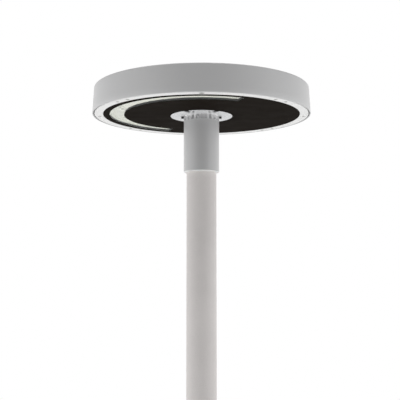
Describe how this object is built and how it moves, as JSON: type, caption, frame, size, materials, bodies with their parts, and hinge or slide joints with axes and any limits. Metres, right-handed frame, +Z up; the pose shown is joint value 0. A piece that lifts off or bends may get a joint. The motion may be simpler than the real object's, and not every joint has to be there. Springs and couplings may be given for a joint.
{
  "type": "street lamp post",
  "caption": "Post-top street lamp: flat round lantern with a half-ring optic on a slip-over sleeve, slim round pole with a service door and a square anchor plate.",
  "frame": {"origin": "centre of the base plate's underside, on the ground", "axes": "+Z up along the post; the service door and the viewing side face -Y; the canopy hinge is on +Y"},
  "size_m": [0.555, 0.5655, 3.22],
  "materials": {
    "pole_paint": "fine-textured warm grey polyester powder coat",
    "head_paint": "smooth satin silver-grey paint",
    "ring_paint": "fine-textured light grey powder coat",
    "hub_white": "speckled off-white powder coat",
    "weld_steel": "powder-coated weld bead",
    "cast_alloy": "bare die-cast aluminium, satin",
    "collar_alloy": "turned and anodised, semi-gloss",
    "sheet_alloy": "rolled sheet, satin",
    "bright_reflector": "bright anodised reflector sheet",
    "sink_alloy": "extruded, fine saw-cut fins",
    "stainless": "stainless steel fasteners",
    "black_steel": "black zinc-plated screws",
    "galvanised": "hot-dip galvanised",
    "brass": "turned brass",
    "clear_glass": "toughened clear float glass",
    "black_enamel": "opaque black ceramic screen print",
    "black_rubber": "moulded EPDM",
    "light_seal": "light grey silicone",
    "board_white": "white solder-mask circuit board",
    "lens_clear": "moulded acrylic lens",
    "gear_white": "white plastic housing",
    "gear_grey": "grey thermoplastic",
    "gear_orange": "orange module housing",
    "cable_black": "black rubber cable sheath",
    "lead_grey": "grey cable sheath"
  },
  "bodies": {
    "post": {"base_plate": "pole_paint", "base_weld": "weld_steel", "pole_base": "pole_paint", "pole_shaft": "pole_paint", "joint_weld": "pole_paint", "door_frame": "galvanised", "lock_bracket": "galvanised", "earth_stud": "brass", "fuse_rail": "galvanised", "fuse_box": "gear_grey", "fuse_box_cover": "gear_white", "fuse_box_screws": "stainless", "fuse_terminals": "gear_white", "fuse_carrier": "gear_grey", "fuse_glands": "black_rubber", "riser_cable": "cable_black"},
    "door": {"door_panel": "pole_paint", "door_tongue": "galvanised", "door_lock": "stainless"},
    "head": {"sleeve": "head_paint", "set_screws": "black_steel", "sleeve_seal": "light_seal", "neck_collar": "collar_alloy", "hub_casting": "cast_alloy", "hub_plate": "hub_white", "hub_screws": "black_steel", "hub_clamp_ring": "cast_alloy", "hub_bolts": "stainless", "neck_bolts": "stainless", "riser_gland": "black_rubber", "trim_ring": "ring_paint", "ring_screws": "stainless", "canopy_lock_screw": "stainless", "cover_glass": "clear_glass", "glass_print": "black_enamel", "glass_bond": "black_rubber", "hub_seal": "black_rubber", "base_tray": "sheet_alloy", "canopy_gasket": "black_rubber", "reflector": "bright_reflector", "led_board": "board_white", "led_lenses": "lens_clear", "heat_sinks": "sink_alloy", "led_driver": "gear_white", "gear_screws": "stainless", "surge_protector": "gear_orange", "terminal_block": "gear_grey", "mains_lead": "lead_grey", "driver_lead": "lead_grey", "led_lead": "lead_grey", "hinge_bracket": "cast_alloy", "hinge_pin": "stainless"},
    "canopy": {"canopy": "head_paint", "lock_nut": "cast_alloy", "hinge_leaf": "head_paint", "leaf_screws": "stainless"}
  },
  "joints": [
    {"name": "head_turn", "type": "hinge", "parent": "post", "child": "head", "pos_m": [0, 0, 3.12], "axis": [0, 0, 1], "range_deg": [-180, 180]},
    {"name": "canopy_lift", "type": "hinge", "parent": "head", "child": "canopy", "pos_m": [0, 0.283, 3.155], "axis": [-1, 0, 0], "range_deg": [0, 75]},
    {"name": "door_tilt", "type": "hinge", "parent": "post", "child": "door", "pos_m": [0, -0.038, 0.5], "axis": [1, 0, 0], "range_deg": [0, 35]}
  ]
}
